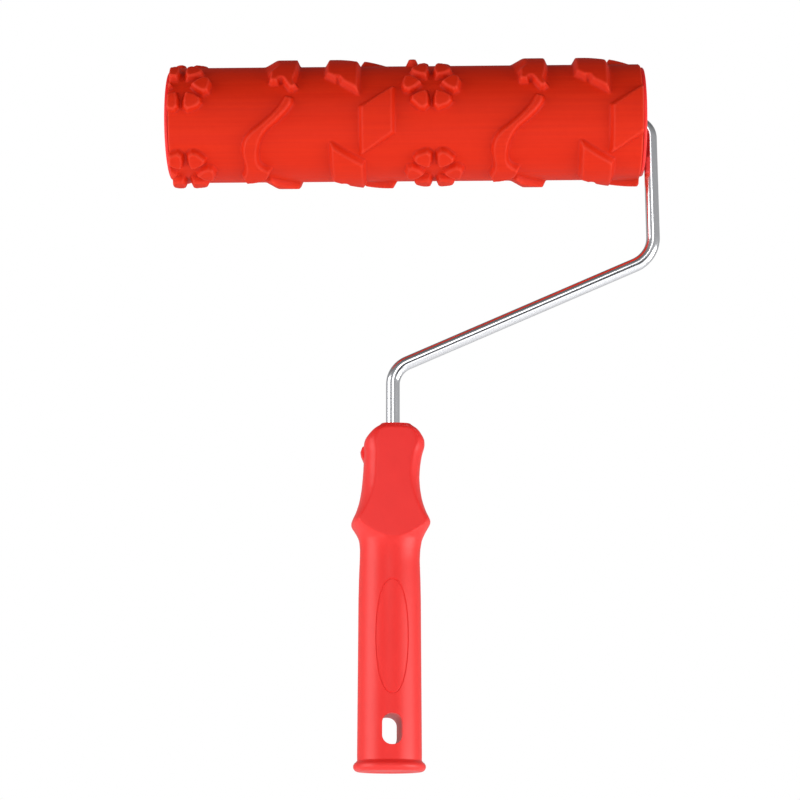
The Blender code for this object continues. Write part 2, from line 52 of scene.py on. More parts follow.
# Barrel
SLEEVE_HALF = 88.9 * MM
SLEEVE_RADIUS = 21.9 * MM
SLEEVE_BORE = 18.2 * MM
RELIEF = 2.6 * MM
DRAFT = 1.5 * MM                    # width of a leaf's sloping side
PETAL_DRAFT = 1.1 * MM
STEM_DRAFT = 1.15 * MM
FOOT_FILLET = 0.2 * MM
CROWN_ROUNDING = 0.2 * MM
CELL = 0.42 * MM                    # spacing of the sleeve's skin before it is thinned out
SLEEVE_FACES = 190000               # after it is thinned out
END_CHAMFER = 0.3 * MM
CORNER_RADIUS = 0.8 * MM            # at a motif's sharp corners, seen from above
CURVE_RADIUS = 40.0 * MM            # at the points of its curved sides
CURVE_TURN = radians(40.0)          # a point that turns less than this is on a curved side

# End caps, measured from the middle of the barrel outwards
CAP_FACE = 90.4 * MM
FLANGE_RADIUS = 20.7 * MM
FLANGE_INNER_FACE = 89.2 * MM
SPIGOT_RADIUS = 16.1 * MM
SPIGOT_END = 72.0 * MM
DISH_RADIUS = 14.0 * MM
WEB_OUTER_FACE = 78.5 * MM
WEB_THICKNESS = 2.2 * MM
HUB_RADIUS = 7.6 * MM
HUB_FACE = 80.0 * MM
HUB_LENGTH = 8.0 * MM
RIB_COUNT = 6
RIB_WIDTH = 1.4 * MM
RIB_TOP = 81.6 * MM

# Rod and what sits on it
ROD_RADIUS = 2.55 * MM
BORE_RADIUS = 2.85 * MM
LEG_X = 1.1 * MM
ELBOW_OUT = 93.2 * MM               # from the middle of the barrel to the leg's centreline
BENDS = (6.4 * MM, 12.0 * MM, 9.0 * MM)
UPPER_CORNER_Z = 191.0 * MM
LOWER_CORNER_Z = 148.0 * MM
ROD_FREE_END = 84.8 * MM
ROD_FOOT_Z = 44.0 * MM
BUSH_RADIUS = 5.0 * MM
BUSH_FLANGE_RADIUS = 6.6 * MM
BUSH_FLANGE_FACE = 81.4 * MM
WASHER_FACES = (81.7 * MM, 82.6 * MM)
WASHER_RADIUS = 5.2 * MM
COLLAR_FACES = (82.9 * MM, 86.1 * MM)
COLLAR_RADIUS = 4.6 * MM
NUT_RADIUS = 4.8 * MM
NUT_WALL = 1.0 * MM
NUT_BRIM = 0.9 * MM
ROUND_SIDES = 96                    # of a bush, washer, collar or nut

# Handle
HANDLE_TURN = radians(6.8)
HANDLE_HEIGHT = 126.4 * MM
LIP_TOP = 4.0 * MM
LIP_RADIUS = 13.0 * MM
FACET_TOP = 7.0 * MM
FACET_LEAN = tan(radians(6.2))
SECTION_EASING = 0.7 * MM           # rounds the handle's outline between its sections
LEAN_EASING = 2.0                   # mm; rounds its lean between the stations of HANDLE_LEAN
FACET_EDGE = 0.35 * MM              # rounding where a facet meets the head's sides
HOLE_Z = 14.6 * MM
HOLE_SIZE = (7.2 * MM, 10.9 * MM)
HOLE_CORNER = 3.3 * MM
PANEL_Z = 47.5 * MM
PANEL_SIZE = (11.4 * MM, 40.7 * MM)
PANEL_SQUARENESS = 2.2              # 2 is an ellipse
PANEL_POINTS = 160
PANEL_ANGLE = 0.3                   # where round the grip its radius is read for the whole oval
GROOVE_RADIUS = 0.32 * MM
NIB_Z = 116.9 * MM
NIB_BACK = (2.6 * MM, 6.0 * MM)     # the nib's faces, behind the handle's middle
NIB_OUTLINE = ((6.0, -4.6), (10.2, -4.6), (11.6, -1.4), (11.9, 0.4), (11.4, 1.8), (10.2, 2.4), (6.0, 2.4))
NIB_RADII = (0.0, 0.8, 1.2, 1.2, 1.2, 1.0, 0.0)
HANDLE_SEGMENTS = 224
HANDLE_SHARP = 34.0                 # degrees; sharper edges aren't shaded smooth
HANDLE_SPANS = (                    # bottom, top and number of rings, closer where the shape changes quickly
    (LIP_TOP, 78.0 * MM, 40),
    (78.0 * MM, 95.0 * MM, 68),
    (95.0 * MM, 118.0 * MM, 40),
    (118.0 * MM, HANDLE_HEIGHT, 42),
)

# The handle's sections before the facets are cut: height, half width, half depth and squareness, where 2 is
# an ellipse
HANDLE_SECTIONS = (
    (4.0, 11.6, 11.6, 2.0),
    (25.0, 11.5, 11.5, 2.0),
    (47.0, 11.4, 11.4, 2.0),
    (61.0, 11.35, 11.35, 2.0),
    (69.0, 11.2, 11.2, 2.0),
    (76.0, 10.95, 11.0, 2.0),
    (80.0, 11.0, 11.2, 2.1),
    (83.2, 11.4, 11.7, 2.3),
    (85.2, 12.15, 12.8, 2.5),
    (87.2, 13.2, 14.2, 2.8),
    (88.7, 14.1, 15.2, 3.0),
    (89.6, 14.4, 15.4, 3.0),
    (91.0, 13.95, 15.0, 2.9),
    (92.8, 13.05, 14.4, 2.8),
    (94.7, 12.35, 13.8, 2.7),
    (96.6, 11.75, 13.2, 2.6),
    (98.5, 11.3, 12.6, 2.5),
    (102.3, 10.7, 11.6, 2.4),
    (106.1, 10.4, 10.85, 2.4),
    (109.8, 10.35, 10.4, 2.4),
    (113.3, 10.5, 9.85, 2.5),
    (115.5, 10.65, 9.6, 2.5),
    (118.2, 11.2, 9.4, 2.6),
    (120.2, 11.1, 9.1, 2.7),
    (121.2, 10.75, 8.8, 2.8),
    (122.2, 10.1, 8.5, 3.0),
    (123.2, 9.35, 8.1, 3.3),
    (124.3, 8.35, 7.5, 4.0),
    (125.3, 7.1, 6.6, 4.0),
    (126.4, 5.3, 5.6, 4.0),
)
# How far the handle leans to +X, over the rod's leg: height, shift
HANDLE_LEAN = (
    (76.0, 0.0), (84.0, 0.3), (100.0, 0.35), (106.0, 0.4), (112.0, 0.8), (118.0, 1.55), (126.4, 2.0),
)

# Pattern: points are (mm along the barrel from its middle, degrees round it from the front, up positive)
PATTERN_SHIFT = 0.5
REPEAT_PITCH = 93.7
REPEATS = (-1, 0, 1)
FLOWERS = ((9.3, 19.8), (10.3, -72.5), (9.5, 112.0), (10.5, 201.0))
RISING_LEAVES = ((-11.0, -16.6), (-11.0, 109.4), (-11.0, 225.0))
FALLING_LEAVES = ((-24.1, 43.4), (-22.3, -71.9), (-23.2, 164.0))
BUD = (2.1, 61.0)
BUD_RADIUS = 2.6
STEM_TURNS = (0.0, 180.0)
LEAF_WIDTH = 13.8
LEAF_SIDE = 50.0
LEAF_SLANT = 23.4
NICK_ALONG = -1.6
NICK_WIDTH = 1.3
NICK_DEPTH = 4.2
PETALS = 6
PETAL_OUTLINE = ((2.8, 0.0), (5.4, 2.75), (8.3, 4.2), (10.6, 3.4), (11.6, 1.2))
STEM_OUTLINE = (
    (-45.4, 8.5), (-42.2, 6.0), (-42.0, -0.8), (-44.4, -9.6), (-48.0, -18.0), (-52.0, -26.0),
    (-54.2, -34.0), (-55.3, -43.0), (-55.6, -51.5), (-55.2, -59.0), (-53.4, -64.0), (-50.6, -66.2),
    (-51.6, -75.0), (-52.4, -79.5), (-54.8, -84.0), (-56.8, -87.0), (-61.6, -89.5), (-62.8, -81.5),
    (-62.9, -76.0), (-61.4, -67.5), (-61.3, -58.5), (-62.0, -51.0), (-62.2, -43.5), (-61.4, -34.5),
    (-59.0, -26.3), (-54.8, -18.8), (-50.4, -9.5), (-47.5, -1.5),
)
FORK_OUTLINE = (
    (-52.0, 24.0), (-51.2, 20.5), (-47.8, 20.0), (-47.3, 26.5), (-45.6, 18.5), (-43.9, 12.5),
    (-42.2, 12.2), (-40.2, 16.5), (-41.6, 22.5), (-40.6, 36.0), (-40.2, 58.0), (-41.0, 76.0),
    (-45.5, 84.0), (-49.5, 91.0), (-52.0, 97.0), (-55.2, 90.5), (-55.0, 78.0), (-53.4, 58.0),
    (-52.4, 38.0), (-51.6, 31.0),
)
RAMP_FOOT = ((-51.9, 29.0), (-55.2, 90.0))      # the fork rises gently from this line
RAMP_WIDTH = 4.6 * MM
RAMP_GROWTH = 16.0                              # degrees over which the ramp reaches its width

# Camera and room
CAMERA_AT = (20.5 * MM, -738.0 * MM, -39.0 * MM)
CAMERA_PITCH = radians(13.35)
CAMERA_YAW = radians(1.3)
LENS = 91.9
FLOOR_Z = -0.45
CARD_Y = -1.1
CARD_Z = (-0.24, 0.22)
CARD_HALF_WIDTH = 0.8
WORLD_STOPS = ((0.25, 0.42), (0.85, 0.10))      # how far up, where 1 is overhead, and the brightness there
SOFTBOX_AIM = (0.0, 0.0, 0.13)
SOFTBOXES = (                       # name, place, width and height, radiance; all face SOFTBOX_AIM
    ("left_softbox", (-1.03, -0.37, 0.15), (0.78, 1.1), 2.4),
    ("right_softbox", (1.0, -0.32, -0.10), (0.9, 0.56), 3.8),
    ("front_softbox", (0.0, -1.47, 0.55), (0.46, 0.44), 2.7),
    ("low_softbox", (0.0, -0.85, -0.34), (1.2, 0.2), 1.2),
)


# ---------------------------------------------------------------- helpers

def object_from(bm, name, slot, sharp=30.0):
    """Turns the bmesh into a smooth shaded object; edges sharper than the angle stay crisp."""
    bmesh.ops.recalc_face_normals(bm, faces=bm.faces)
    mesh = bpy.data.meshes.new(name)
    bm.to_mesh(mesh)
    bm.free()
    mesh.shade_smooth()
    mesh.set_sharp_from_angle(angle=radians(sharp))
    obj = bpy.data.objects.new(name, mesh)
    bpy.context.scene.collection.objects.link(obj)
    if slot:
        mesh.materials.append(slot)
    return obj


def skin(rings, closed_along=False):
    """Skins rings of equal length. A ring of one point is a pole. Open ends are filled."""
    bm = bmesh.new()
    rows = [[bm.verts.new(point) for point in ring] for ring in rings]
    pairs = list(zip(rows, rows[1:]))
    if closed_along:
        pairs.append((rows[-1], rows[0]))
    for row, following in pairs:
        count = max(len(row), len(following))
        for i in range(count):
            j = (i + 1) % count
            if len(row) == 1:
                bm.faces.new((row[0], following[j], following[i]))
            elif len(following) == 1:
                bm.faces.new((row[i], row[j], following[0]))
            else:
                bm.faces.new((row[i], row[j], following[j], following[i]))
    if not closed_along:
        for row in (rows[0], rows[-1]):
            if len(row) > 1:
                bm.faces.new(row)
    return bm


def rounded(points, radii, closed=True, steps=5):
    """Rounds the corners of an outline or path to the radii, as far as its sides are long enough."""
    points = [Vector(point) for point in points]
    count = len(points)
    result = []
    for i, corner in enumerate(points):
        if not closed and i in (0, count - 1):
            result.append(corner)
            continue
        arriving = corner - points[i - 1]
        leaving = points[(i + 1) % count] - corner
        turn = arriving.angle(leaving)
        room = 0.48 * min(arriving.length, leaving.length)
        back = min(radii[i] * tan(turn / 2), room)
        if turn < radians(1.0) or back < 1e-7:
            result.append(corner)
            continue
        arriving.normalize()
        leaving.normalize()
        radius = back / tan(turn / 2)
        inward = (leaving - arriving * arriving.dot(leaving)).normalized()
        start = corner - arriving * back
        for step in range(steps + 1):
            part = turn * step / steps
            result.append(start + radius * (arriving * sin(part) + inward * (1 - cos(part))))
    return result


def turned(profile, radii, segments, closed_along=True):
    """Turns a profile of (along, radius) points, its corners rounded, about X."""
    rings = []
    for along, radius in rounded(profile, radii, closed_along):
        if radius < 1e-7:
            rings.append([(along, 0.0, 0.0)])
            continue
        angles = [2 * pi * i / segments for i in range(segments)]
        rings.append([(along, -radius * cos(a), radius * sin(a)) for a in angles])
    return skin(rings, closed_along)


def prism(outline, low, high):
    """A straight prism through Y of an outline in X and Z."""
    bm = bmesh.new()
    face = bm.faces.new([bm.verts.new((x, low, z)) for x, z in outline])
    extruded = bmesh.ops.extrude_face_region(bm, geom=[face])["geom"]
    moved = [v for v in extruded if isinstance(v, bmesh.types.BMVert)]
    bmesh.ops.translate(bm, vec=(0.0, high - low, 0.0), verts=moved)
    return bm


def apply_boolean(target, operation, bm):
    """Cuts or joins the bmesh with the target's mesh at once."""
    other = object_from(bm, "tool", None)
    step = target.modifiers.new("cut", "BOOLEAN")
    step.operation = operation
    step.object = other
    step.solver = "EXACT"
    depsgraph = bpy.context.evaluated_depsgraph_get()
    result = bpy.data.meshes.new_from_object(target.evaluated_get(depsgraph))
    target.modifiers.clear()
    old = target.data
    target.data = result
    bpy.data.meshes.remove(old)
    bpy.data.objects.remove(other, do_unlink=True)


def place_on_barrel(obj, outwards=1):
    """Moves a piece drawn about X on to the barrel's axis; -1 turns it round to the left end."""
    turn = Matrix.Rotation(0.0 if outwards > 0 else pi, 4, "Z")
    obj.data.transform(Matrix.Translation(barrel_middle) @ turn)


def finish_piece(obj, body, node):
    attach(obj, body)
    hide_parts(node)


# ---------------------------------------------------------------- materials

# Rubber's painted edge light: Pointiness where the tint starts and where it is full, and the tint; a painted
# highlight on the motifs' crowns and painted shade in their feet
RUBBER_EDGE_HIGHLIGHT_AND_SHADE = (
    (0.515, 0.60, (0.88, 0.06, 0.03)),          # paler crowns: painted highlight where the rounded crowns catch light
    (0.485, 0.42, (0.52, 0.012, 0.004)),        # darker feet: painted shade in the creases at the motifs' feet
)


def new_material(name, colour, roughness, metallic=0.0):
    made = bpy.data.materials.new(name)
    made.use_nodes = True
    shader = made.node_tree.nodes["Principled BSDF"]
    shader.inputs["Base Color"].default_value = (*colour, 1.0)
    shader.inputs["Roughness"].default_value = roughness
    shader.inputs["Metallic"].default_value = metallic
    return made, shader


def noise(made, scale, detail=3.0, stretch=(1.0, 1.0, 1.0)):
    """Noise in the object's own space; scale is in features for each metre."""
    nodes, links = made.node_tree.nodes, made.node_tree.links
    place = nodes.new("ShaderNodeTexCoord")
    mapping = nodes.new("ShaderNodeMapping")
    mapping.inputs["Scale"].default_value = stretch
    texture = nodes.new("ShaderNodeTexNoise")
    texture.inputs["Scale"].default_value = scale
    texture.inputs["Detail"].default_value = detail
    links.new(place.outputs["Object"], mapping.inputs["Vector"])
    links.new(mapping.outputs["Vector"], texture.inputs["Vector"])
    return texture.outputs["Fac"]


def spread(made, source, low, high):
    """Maps the middle of a noise's values to a whole range."""
    node = made.node_tree.nodes.new("ShaderNodeMapRange")
    node.inputs["From Min"].default_value = 0.3
    node.inputs["From Max"].default_value = 0.7
    node.inputs["To Min"].default_value = low
    node.inputs["To Max"].default_value = high
    made.node_tree.links.new(source, node.inputs["Value"])
    return node.outputs["Result"]


def tint(made, shader, factor, first, second):
    """Lets the base colour wander between two colours, and returns the result."""
    node = made.node_tree.nodes.new("ShaderNodeMix")
    node.data_type = "RGBA"
    node.inputs["A"].default_value = (*first, 1.0)
    node.inputs["B"].default_value = (*second, 1.0)
    made.node_tree.links.new(factor, node.inputs["Factor"])
    made.node_tree.links.new(node.outputs["Result"], shader.inputs["Base Color"])
    return node.outputs["Result"]


def paint_edge_highlight_and_shade(made, shader, colour):
    """Paints a highlight on the motifs' crown edges and shade into their feet: the crowns a little paler,
    the feet a little darker.
    """
    nodes, links = made.node_tree.nodes, made.node_tree.links
    surface = nodes.new("ShaderNodeNewGeometry")
    for begins, full, painted_edge_colour in RUBBER_EDGE_HIGHLIGHT_AND_SHADE:
        share = nodes.new("ShaderNodeMapRange")
        share.inputs["From Min"].default_value = begins
        share.inputs["From Max"].default_value = full
        mix = nodes.new("ShaderNodeMix")
        mix.data_type = "RGBA"
        mix.inputs["B"].default_value = (*painted_edge_colour, 1.0)
        links.new(surface.outputs["Pointiness"], share.inputs["Value"])
        links.new(share.outputs["Result"], mix.inputs["Factor"])
        links.new(colour, mix.inputs["A"])
        colour = mix.outputs["Result"]
    links.new(colour, shader.inputs["Base Color"])


def bumps(made, shader, layers):
    """Chains bumps: each layer is (height source, depth in metres)."""
    nodes, links = made.node_tree.nodes, made.node_tree.links
    normal = None
    for height, depth in layers:
        node = nodes.new("ShaderNodeBump")
        node.inputs["Distance"].default_value = depth
        links.new(height, node.inputs["Height"])
        if normal:
            links.new(normal, node.inputs["Normal"])
        normal = node.outputs["Normal"]
    links.new(normal, shader.inputs["Normal"])


def rubber_material():
    """Moulded rubber: a soft satin with fine grain and faint streaks along the barrel."""
    made, shader = new_material("rubber_red", (0.71, 0.026, 0.004), 0.5)
    streaks = noise(made, 900.0, 2.0, (0.02, 1.0, 1.0))
    grain = noise(made, 2600.0, 3.0)
    cloud = noise(made, 110.0, 4.0)
    red = tint(made, shader, spread(made, streaks, 0.0, 1.0), (0.70, 0.019, 0.002), (0.74, 0.024, 0.003))
    # painted highlight on the motifs' crowns and painted shade at their feet, placed by Pointiness
    paint_edge_highlight_and_shade(made, shader, red)
    made.node_tree.links.new(spread(made, streaks, 0.46, 0.60), shader.inputs["Roughness"])
    shader.inputs["Specular IOR Level"].default_value = 0.16
    bumps(made, shader, ((grain, 0.012 * MM), (streaks, 0.02 * MM), (cloud, 0.15 * MM)))
    return made


def plastic_material(name, first, second, roughness):
    """Moulded plastic with a fine spark-eroded grain."""
    made, shader = new_material(name, first, roughness)
    grain = noise(made, 3400.0, 2.0)
    cloud = noise(made, 60.0, 3.0)
    tint(made, shader, spread(made, cloud, 0.0, 1.0), first, second)
    gloss = spread(made, grain, roughness - 0.04, roughness + 0.05)
    made.node_tree.links.new(gloss, shader.inputs["Roughness"])
    bumps(made, shader, ((grain, 0.006 * MM), (cloud, 0.12 * MM)))
    return made


def metal_material(name, colour, low, high, grain_scale, grain_depth):
    """Plated steel with faint roughness variation and a fine skin."""
    made, shader = new_material(name, colour, low, 1.0)
    grain = noise(made, grain_scale, 1.0)
    cloud = noise(made, 90.0, 3.0)
    made.node_tree.links.new(spread(made, cloud, low, high), shader.inputs["Roughness"])
    bumps(made, shader, ((grain, grain_depth),))
    return made


# ---------------------------------------------------------------- pattern

def around(degrees):
    """Degrees round the sleeve as metres along its skin."""
    return radians(degrees) * SLEEVE_RADIUS


def leaf_outline(slant, nick):
    """A leaf leaning by the slant, with a nick in its lower side or without."""
    half = LEAF_WIDTH / 2
    low, high = -LEAF_SIDE / 2, LEAF_SIDE / 2
    left, right = -slant / 2, slant / 2
    outline = [(-half, high + left), (-half, low + left)]
    if nick:
        for along, depth in ((-0.5, 0.0), (0.0, NICK_DEPTH), (0.5, 0.0)):
            x = NICK_ALONG + along * NICK_WIDTH
            outline.append((x, low + slant * x / LEAF_WIDTH + depth))
    outline += [(half, low + right), (half, high + right)]
    return outline


def petal_outline(index):
    """One petal, its point towards the flower's centre."""
    turn = 2 * pi * index / PETALS
    loop = list(PETAL_OUTLINE) + [(out, -side) for out, side in reversed(PETAL_OUTLINE[1:-1])]
    placed = []
    for out, side in loop:
        along = out * cos(turn) - side * sin(turn)
        height = out * sin(turn) + side * cos(turn)
        placed.append((along, height * MM / around(1.0)))
    return placed


def bud_outline():
    steps = [2 * pi * i / 8 for i in range(8)]
    return [(BUD_RADIUS * cos(a), BUD_RADIUS * sin(a) * MM / around(1.0)) for a in steps]


def motif_outlines():
    """Each motif on the sleeve, in metres along and round it: rounded outline, draft and any ramp's foot."""
    placed = []
    for along, angle in FLOWERS:
        placed += [(petal_outline(i), PETAL_DRAFT, along, angle) for i in range(PETALS)]
    placed += [(leaf_outline(LEAF_SLANT, False), DRAFT, along, angle) for along, angle in RISING_LEAVES]
    placed += [(leaf_outline(-LEAF_SLANT, True), DRAFT, along, angle) for along, angle in FALLING_LEAVES]
    placed += [(STEM_OUTLINE, STEM_DRAFT, 0.0, turn) for turn in STEM_TURNS]
    placed += [(FORK_OUTLINE, STEM_DRAFT, 0.0, turn) for turn in STEM_TURNS]
    placed.append((bud_outline(), PETAL_DRAFT, *BUD))
    for repeat in REPEATS:
        for outline, draft, along, angle in placed:
            shift = along + PATTERN_SHIFT + repeat * REPEAT_PITCH
            moved = [((x + shift) * MM, around(a + angle)) for x, a in outline]
            ramp = None
            if outline is FORK_OUTLINE:
                ramp = [((x + shift) * MM, around(a + angle)) for x, a in RAMP_FOOT]
            if min(x for x, _ in moved) < SLEEVE_HALF and max(x for x, _ in moved) > -SLEEVE_HALF:
                yield rounded(moved, corner_radii(moved)), draft, ramp


def corner_radii(outline):
    """A large radius where an outline curves gently and a small one at its corners."""
    radii = []
    for i, point in enumerate(outline):
        arriving = Vector(point) - Vector(outline[i - 1])
        leaving = Vector(outline[(i + 1) % len(outline)]) - Vector(point)
        radii.append(CURVE_RADIUS if arriving.angle(leaving) < CURVE_TURN else CORNER_RADIUS)
    return radii


def inside_distance(x, y, outline):
    """How far the points lie from the outline, positive inside it."""
    nearest = np.full(x.shape, np.inf)
    inside = np.zeros(x.shape, bool)
    for here, there in zip(outline, outline[1:] + outline[:1]):
        dx, dy = there[0] - here[0], there[1] - here[1]
        length = dx * dx + dy * dy
        if length < 1e-14:
            continue
        part = np.clip(((x - here[0]) * dx + (y - here[1]) * dy) / length, 0.0, 1.0)
        nearest = np.minimum(nearest, (x - here[0] - part * dx) ** 2 + (y - here[1] - part * dy) ** 2)
        if dy:
            crosses = (here[1] > y) != (there[1] > y)
            inside ^= crosses & (x < here[0] + (y - here[1]) * dx / dy)
    return np.where(inside, 1.0, -1.0) * np.sqrt(nearest)


def relief_height(depth):
    """Height of the skin at a distance inside an outline: foot fillet, sloping side, rounded crown."""
    fillet, crown = FOOT_FILLET, CROWN_ROUNDING
    knots = (-fillet, 0.0, fillet, DRAFT - crown, DRAFT, DRAFT + crown)
    shares = (0.0, 0.25 * fillet / DRAFT, fillet / DRAFT, 1 - crown / DRAFT, 1 - 0.25 * crown / DRAFT, 1.0)
    return RELIEF * np.interp(depth, knots, shares)


def sleeve_sheet():
    """The sleeve's skin unrolled, as a grid drawn on to the motifs' edges.

    Returns each point's place along and round the sleeve, and how far inside a motif it lies.
    """
    columns = int(2 * SLEEVE_HALF / CELL)
    rows = int(2 * pi * SLEEVE_RADIUS / CELL)
    along = np.linspace(-SLEEVE_HALF, SLEEVE_HALF, columns)
    pitch = 2 * pi * SLEEVE_RADIUS / rows
    x = np.repeat(along[:, None], rows, axis=1)
    y = np.repeat((np.arange(rows) * pitch)[None, :], columns, axis=0)
    depth = np.full((columns, rows), -4 * FOOT_FILLET)
    margin = 2 * MM
    for outline, draft, ramp in motif_outlines():
        first = np.searchsorted(along, min(p[0] for p in outline) - margin)
        last = np.searchsorted(along, max(p[0] for p in outline) + margin)
        low = int((min(p[1] for p in outline) - margin) // pitch)
        high = int((max(p[1] for p in outline) + margin) // pitch)
        lines = np.arange(low, high + 1)
        px, py = np.meshgrid(along[first:last], lines * pitch, indexing="ij")
        inside = inside_distance(px, py, outline) * DRAFT / draft
        if ramp:
            (low_x, low_y), (high_x, high_y) = ramp
            foot = low_x + (py - low_y) * (high_x - low_x) / (high_y - low_y)
            width = RAMP_WIDTH * np.clip((py - low_y) / around(RAMP_GROWTH), 0.01, 1.0)
            inside = np.minimum(inside, (px - foot) * DRAFT / width)
        block = np.ix_(np.arange(first, last), lines % rows)
        depth[block] = np.maximum(depth[block], inside)
    slope_x = np.gradient(depth, along, axis=0)
    slope_y = (np.roll(depth, -1, axis=1) - np.roll(depth, 1, axis=1)) / (2 * pitch)
    steep = np.abs(np.hypot(slope_x, slope_y) - 1.0) < 0.15
    steep[:2] = False
    steep[-2:] = False
    for edge in (0.0, DRAFT):
        short = edge - depth
        move = np.where(steep & (np.abs(short) < 0.5 * CELL), short, 0.0)
        x = x + move * slope_x
        y = y + move * slope_y
        depth = depth + move
    return x, y, depth


def make_sleeve(slot):
    """The sheet rolled up, with its bore and end faces, as one closed mesh."""
    x, y, depth = sleeve_sheet()
    columns, rows = x.shape
    radius = SLEEVE_RADIUS + relief_height(depth)
    radius[0] -= END_CHAMFER
    radius[-1] -= END_CHAMFER
    angle = y / SLEEVE_RADIUS
    outer = np.stack((x, -radius * np.cos(angle), radius * np.sin(angle)), axis=-1).reshape(-1, 3)
    turn = angle[0]
    ends = []
    for end in (-SLEEVE_HALF, SLEEVE_HALF):
        ring = (np.full(rows, end), -SLEEVE_BORE * np.cos(turn), SLEEVE_BORE * np.sin(turn))
        ends.append(np.stack(ring, axis=-1))
    verts = np.concatenate((outer, *ends))
    here = np.arange(rows)
    there = np.roll(here, -1)
    left, right = columns * rows, (columns + 1) * rows
    bands = [(column * rows, (column + 1) * rows) for column in range(columns - 1)]
    bands += [((columns - 1) * rows, right), (right, left), (left, 0)]
    faces = [np.stack((a + here, b + here, b + there, a + there), axis=-1) for a, b in bands]
    mesh = bpy.data.meshes.new("pattern_sleeve")
    mesh.from_pydata(verts.tolist(), [], np.concatenate(faces).tolist())
    mesh.shade_smooth()
    mesh.materials.append(slot)
    sleeve = bpy.data.objects.new("pattern_sleeve", mesh)
    bpy.context.scene.collection.objects.link(sleeve)
    thin_out(sleeve)
    sleeve.data.set_sharp_from_angle(angle=radians(50.0))
    place_on_barrel(sleeve)
    finish_piece(sleeve, "barrel", "rubber_sleeve")


def thin_out(obj):
    """Merges needless faces where the skin is plain."""
    step = obj.modifiers.new("thin", "DECIMATE")
    step.ratio = SLEEVE_FACES / (2 * len(obj.data.polygons))
    depsgraph = bpy.context.evaluated_depsgraph_get()
    result = bpy.data.meshes.new_from_object(obj.evaluated_get(depsgraph))
    obj.modifiers.clear()
    obj.data = result


# ---------------------------------------------------------------- barrel's other pieces

def make_cap(side, outwards, slot):
    """Flange, spigot, web and hub in one moulding, with radial ribs in its open dish."""
    hub_bore = BUSH_RADIUS + 0.3 * MM
    web_inner = WEB_OUTER_FACE - WEB_THICKNESS
    profile = (
        (HUB_FACE - HUB_LENGTH, hub_bore),
        (HUB_FACE - HUB_LENGTH, HUB_RADIUS),
        (web_inner, HUB_RADIUS),
        (web_inner, DISH_RADIUS),
        (SPIGOT_END, DISH_RADIUS),
        (SPIGOT_END, SPIGOT_RADIUS),
        (FLANGE_INNER_FACE, SPIGOT_RADIUS),
        (FLANGE_INNER_FACE, FLANGE_RADIUS),
        (CAP_FACE, FLANGE_RADIUS),
        (CAP_FACE, DISH_RADIUS),
        (WEB_OUTER_FACE, DISH_RADIUS),
        (WEB_OUTER_FACE, HUB_RADIUS),
        (HUB_FACE, HUB_RADIUS),
        (HUB_FACE, hub_bore),
    )
    radii = [r * MM for r in (0.2, 0.3, 0.5, 0.5, 0.3, 0.8, 0.2, 0.2, 0.75, 0.9, 0.8, 0.6, 0.4, 0.3)]
    cap = object_from(turned(profile, radii, 160), "cap_moulding_" + side, slot)
    inner, outer = HUB_RADIUS - 0.5 * MM, DISH_RADIUS + 0.6 * MM
    for i in range(RIB_COUNT):
        rib = bmesh.new()
        bmesh.ops.create_cube(rib, size=1.0)
        bmesh.ops.scale(rib, vec=(RIB_TOP - WEB_OUTER_FACE + MM, RIB_WIDTH, outer - inner), verts=rib.verts)
        long_edges = [e for e in rib.edges if abs(e.verts[0].co.z - e.verts[1].co.z) > 1e-6]
        bmesh.ops.bevel(rib, geom=long_edges, offset=0.35 * MM, segments=3, affect="EDGES", profile=0.5)
        middle = ((RIB_TOP + WEB_OUTER_FACE - MM) / 2, 0.0, (inner + outer) / 2)
        bmesh.ops.translate(rib, vec=middle, verts=rib.verts)
        turn = Matrix.Rotation(2 * pi * (i + 0.25) / RIB_COUNT, 3, "X")
        bmesh.ops.rotate(rib, matrix=turn, verts=rib.verts)
        apply_boolean(cap, "UNION", rib)
    place_on_barrel(cap, outwards)
    finish_piece(cap, "barrel", "end_cap_" + side)


def make_bush(side, outwards, slot):
    """A plain bearing with a flange outside the hub."""
    profile = (
        (HUB_FACE - HUB_LENGTH, BORE_RADIUS),
        (HUB_FACE - HUB_LENGTH, BUSH_RADIUS),
        (HUB_FACE + 0.3 * MM, BUSH_RADIUS),
        (HUB_FACE + 0.3 * MM, BUSH_FLANGE_RADIUS),
        (BUSH_FLANGE_FACE, BUSH_FLANGE_RADIUS),
        (BUSH_FLANGE_FACE, BORE_RADIUS),
    )
    radii = [r * MM for r in (0.1, 0.3, 0.1, 0.25, 0.35, 0.3)]
    bush = object_from(turned(profile, radii, ROUND_SIDES), "bush_body_" + side, slot)
    place_on_barrel(bush, outwards)
    finish_piece(bush, "barrel", "bush_" + side)


def ring_profile(faces, radius):
    """A plain ring round the rod between two faces."""
    return (faces[0], BORE_RADIUS), (faces[0], radius), (faces[1], radius), (faces[1], BORE_RADIUS)


def make_washer(side, outwards, slot):
    profile = ring_profile(WASHER_FACES, WASHER_RADIUS)
    radii = [r * MM for r in (0.1, 0.2, 0.2, 0.1)]
    washer = object_from(turned(profile, radii, ROUND_SIDES), "washer_disc_" + side, slot)
    place_on_barrel(washer, outwards)
    finish_piece(washer, "frame", "thrust_washer_" + side)


def make_collar(slot):
    profile = ring_profile(COLLAR_FACES, COLLAR_RADIUS)
    radii = [r * MM for r in (0.15, 0.5, 0.5, 0.15)]
    collar = object_from(turned(profile, radii, ROUND_SIDES), "collar_ring", slot)
    place_on_barrel(collar)
    finish_piece(collar, "frame", "stop_collar")


